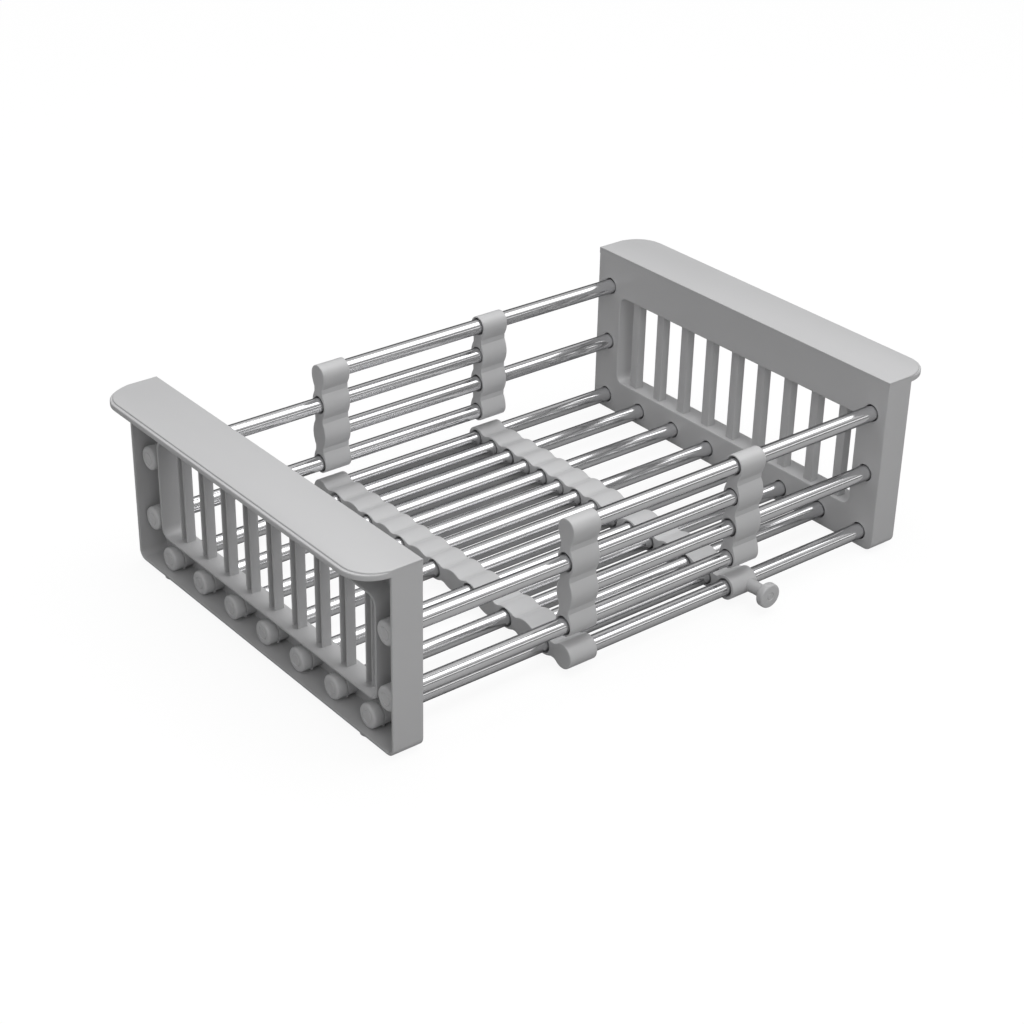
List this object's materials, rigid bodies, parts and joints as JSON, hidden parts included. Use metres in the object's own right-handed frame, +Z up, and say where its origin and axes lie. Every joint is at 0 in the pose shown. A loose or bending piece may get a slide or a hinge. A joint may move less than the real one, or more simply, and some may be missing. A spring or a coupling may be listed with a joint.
{
  "type": "over-sink dish drying rack",
  "caption": "Extendable dish drying rack that hangs over a sink: steel tubes telescoping between moulded end panels with hanging flanges, held by a thumbscrew.",
  "frame": {"origin": "under the middle of the rack's box, on the surface that its feet stand on", "axes": "+X along the tubes from the half with the thumbscrew to the other, +Z up, the thumbscrew is on the -Y side"},
  "size_m": [0.3886, 0.255, 0.1084],
  "materials": {
    "grey_plastic": "light grey moulded plastic with a fine satin skin",
    "cap_plastic": "light grey moulded plastic, slightly paler than the panels",
    "tube_steel": "polished stainless steel with faint lengthwise drawing lines",
    "screw_steel": "plain steel screw"
  },
  "bodies": {
    "left_half": {"left_end_panel": "grey_plastic", "left_floor_1_tube": "tube_steel", "left_floor_1_cap": "cap_plastic", "left_floor_2_tube": "tube_steel", "left_floor_2_cap": "cap_plastic", "left_floor_3_tube": "tube_steel", "left_floor_3_cap": "cap_plastic", "left_floor_4_tube": "tube_steel", "left_floor_4_cap": "cap_plastic", "left_floor_5_tube": "tube_steel", "left_floor_5_cap": "cap_plastic", "left_floor_6_tube": "tube_steel", "left_floor_6_cap": "cap_plastic", "left_floor_7_tube": "tube_steel", "left_floor_7_cap": "cap_plastic", "left_near_upper_tube": "tube_steel", "left_near_upper_cap": "cap_plastic", "left_far_upper_tube": "tube_steel", "left_far_upper_cap": "cap_plastic", "left_near_lower_tube": "tube_steel", "left_near_lower_cap": "cap_plastic", "left_far_lower_tube": "tube_steel", "left_far_lower_cap": "cap_plastic", "left_near_side_clip": "grey_plastic", "left_far_side_clip": "grey_plastic", "left_floor_clip": "grey_plastic"},
    "right_half": {"right_end_panel": "grey_plastic", "right_floor_1_tube": "tube_steel", "right_floor_1_cap": "cap_plastic", "right_floor_2_tube": "tube_steel", "right_floor_2_cap": "cap_plastic", "right_floor_3_tube": "tube_steel", "right_floor_3_cap": "cap_plastic", "right_floor_4_tube": "tube_steel", "right_floor_4_cap": "cap_plastic", "right_floor_5_tube": "tube_steel", "right_floor_5_cap": "cap_plastic", "right_floor_6_tube": "tube_steel", "right_floor_6_cap": "cap_plastic", "right_floor_7_tube": "tube_steel", "right_floor_7_cap": "cap_plastic", "right_floor_8_tube": "tube_steel", "right_floor_8_cap": "cap_plastic", "right_near_upper_tube": "tube_steel", "right_near_upper_cap": "cap_plastic", "right_far_upper_tube": "tube_steel", "right_far_upper_cap": "cap_plastic", "right_near_lower_tube": "tube_steel", "right_near_lower_cap": "cap_plastic", "right_far_lower_tube": "tube_steel", "right_far_lower_cap": "cap_plastic", "right_near_side_clip": "grey_plastic", "right_far_side_clip": "grey_plastic", "right_floor_clip": "grey_plastic"},
    "lock_screw": {"lock_stud": "screw_steel"},
    "lock_handle": {"lock_knob": "grey_plastic"}
  },
  "joints": [
    {"name": "basket_extension", "type": "slide", "parent": "left_half", "child": "right_half", "axis": [1, 0, 0], "range_m": [-0.0865, 0.0965]},
    {"name": "lock_slide", "type": "slide", "parent": "left_half", "child": "lock_screw", "axis": [0, -1, 0], "range_m": [0, 0.0014]},
    {"name": "lock_turn", "type": "hinge", "parent": "lock_screw", "child": "lock_handle", "pos_m": [0.06675, -0.123, 0.0107], "axis": [0, -1, 0], "range_deg": [0, 720]}
  ],
  "couplings": [
    {"joint": "lock_slide", "follows": "lock_turn", "m_per_rad": 0.0001114}
  ]
}
